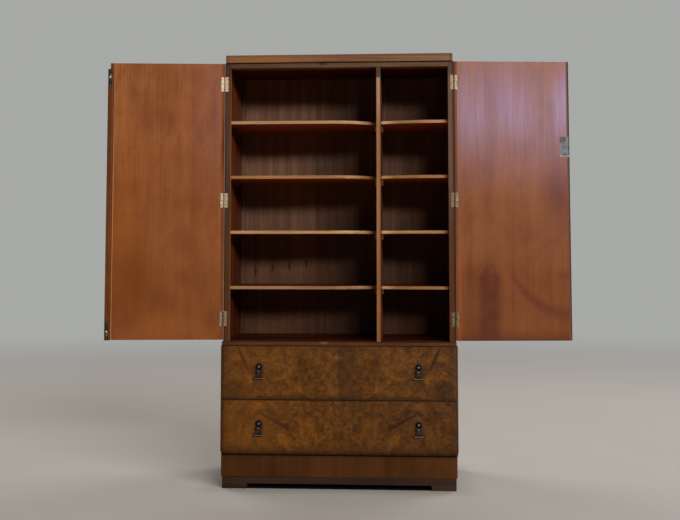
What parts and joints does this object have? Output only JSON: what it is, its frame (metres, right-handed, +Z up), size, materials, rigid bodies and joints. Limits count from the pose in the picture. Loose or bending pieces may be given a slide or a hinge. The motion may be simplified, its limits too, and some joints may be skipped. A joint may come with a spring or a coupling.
{
  "type": "tallboy",
  "caption": "Tall walnut cupboard with overlay doors on butt hinges, curved-front shelves beside an upright divider, and full-width drawers with drop handles, on a plinth with feet.",
  "frame": {"origin": "on the floor, at the middle of the bounding box with both doors standing open", "axes": "+X to the viewer's right, +Y from the front to the back, +Z up"},
  "size_m": [1.8038, 0.4794, 1.678],
  "materials": {
    "carcass_walnut": "satin french polish",
    "door_walnut": "satin red-brown polish",
    "shelf_wood": "thin satin polish",
    "plywood": "stained, matt",
    "drawer_wood": "bare, matt",
    "burr_walnut": "glossy polish",
    "plinth_walnut": "satin polish",
    "dark_base": "dark stain, worn",
    "hinge_brass": "dulled",
    "lock_steel": "dull grey",
    "bronze": "dark antique bronze"
  },
  "bodies": {
    "carcass": {"top_board": "carcass_walnut", "upper_left_side": "carcass_walnut", "upper_right_side": "carcass_walnut", "front_stiles": "carcass_walnut", "rear_fillets": "carcass_walnut", "top_rail": "carcass_walnut", "waist_board": "shelf_wood", "divider": "shelf_wood", "wall_bearers": "shelf_wood", "divider_bearers": "shelf_wood", "back_panel": "plywood", "lower_left_side": "carcass_walnut", "lower_right_side": "carcass_walnut", "drawer_rail": "drawer_wood", "drawer_runners": "drawer_wood", "bottom_board": "drawer_wood", "plinth_boards": "plinth_walnut", "base_frame": "dark_base", "feet": "dark_base", "carcass_hinge_leaves": "hinge_brass", "hinge_pins": "hinge_brass", "left_shelf_1": "shelf_wood", "right_shelf_1": "shelf_wood", "left_shelf_2": "shelf_wood", "right_shelf_2": "shelf_wood", "left_shelf_3": "shelf_wood", "right_shelf_3": "shelf_wood", "left_shelf_4": "shelf_wood", "right_shelf_4": "shelf_wood"},
    "left_door": {"left_door_panel": "door_walnut", "left_door_lippings": "door_walnut", "left_door_hinge_leaves": "hinge_brass", "left_door_handle_plate": "bronze", "closing_strip": "door_walnut", "bolt_plates": "bronze"},
    "right_door": {"right_door_panel": "door_walnut", "right_door_lippings": "door_walnut", "right_door_hinge_leaves": "hinge_brass", "right_door_handle_plate": "bronze", "lock_case": "lock_steel", "escutcheon": "hinge_brass"},
    "top_bolt": {"top_bolt": "bronze"},
    "bottom_bolt": {"bottom_bolt": "bronze"},
    "lock_bolt": {"lock_bolt": "lock_steel"},
    "left_door_drop": {"left_door_drop": "bronze"},
    "right_door_drop": {"right_door_drop": "bronze"},
    "upper_drawer": {"upper_drawer_front": "burr_walnut", "upper_drawer_sides": "drawer_wood", "upper_drawer_ends": "drawer_wood", "upper_drawer_bottom": "plywood", "upper_drawer_handle_plates": "bronze"},
    "upper_drawer_left_drop": {"upper_drawer_left_drop": "bronze"},
    "upper_drawer_right_drop": {"upper_drawer_right_drop": "bronze"},
    "lower_drawer": {"lower_drawer_front": "burr_walnut", "lower_drawer_sides": "drawer_wood", "lower_drawer_ends": "drawer_wood", "lower_drawer_bottom": "plywood", "lower_drawer_handle_plates": "bronze"},
    "lower_drawer_left_drop": {"lower_drawer_left_drop": "bronze"},
    "lower_drawer_right_drop": {"lower_drawer_right_drop": "bronze"}
  },
  "joints": [
    {"name": "left_door", "type": "hinge", "parent": "carcass", "child": "left_door", "pos_m": [-0.44749, -0.17676, 0.558], "axis": [0, 0, 1], "range_deg": [-11, 174.5]},
    {"name": "right_door", "type": "hinge", "parent": "carcass", "child": "right_door", "pos_m": [0.45451, -0.17676, 0.558], "axis": [0, 0, -1], "range_deg": [0, 185.5]},
    {"name": "top_bolt", "type": "slide", "parent": "left_door", "child": "top_bolt", "axis": [0, 0, 1], "range_m": [0, 0.016]},
    {"name": "bottom_bolt", "type": "slide", "parent": "left_door", "child": "bottom_bolt", "axis": [0, 0, -1], "range_m": [0, 0.016]},
    {"name": "lock_bolt", "type": "slide", "parent": "right_door", "child": "lock_bolt", "axis": [0.9954, 0.0958, 0], "range_m": [0, 0.009]},
    {"name": "lower_drawer", "type": "slide", "parent": "carcass", "child": "lower_drawer", "axis": [0, -1, 0], "range_m": [0, 0.32]},
    {"name": "lower_drawer_left_drop", "type": "hinge", "parent": "lower_drawer", "child": "lower_drawer_left_drop", "pos_m": [-0.30249, -0.20676, 0.23], "axis": [-1, 0, 0], "range_deg": [0, 80]},
    {"name": "lower_drawer_right_drop", "type": "hinge", "parent": "lower_drawer", "child": "lower_drawer_right_drop", "pos_m": [0.30951, -0.20676, 0.23], "axis": [-1, 0, 0], "range_deg": [0, 80]},
    {"name": "upper_drawer", "type": "slide", "parent": "carcass", "child": "upper_drawer", "axis": [0, -1, 0], "range_m": [0, 0.32]},
    {"name": "upper_drawer_left_drop", "type": "hinge", "parent": "upper_drawer", "child": "upper_drawer_left_drop", "pos_m": [-0.30249, -0.20676, 0.446], "axis": [-1, 0, 0], "range_deg": [0, 80]},
    {"name": "upper_drawer_right_drop", "type": "hinge", "parent": "upper_drawer", "child": "upper_drawer_right_drop", "pos_m": [0.30951, -0.20676, 0.446], "axis": [-1, 0, 0], "range_deg": [0, 80]},
    {"name": "left_door_drop", "type": "hinge", "parent": "left_door", "child": "left_door_drop", "pos_m": [-0.85566, -0.18944, 1.136], "axis": [0.9954, 0.0958, 0], "range_deg": [0, 80]},
    {"name": "right_door_drop", "type": "hinge", "parent": "right_door", "child": "right_door_drop", "pos_m": [0.85759, -0.11132, 1.136], "axis": [0.9954, 0.0958, 0], "range_deg": [0, 80]}
  ]
}
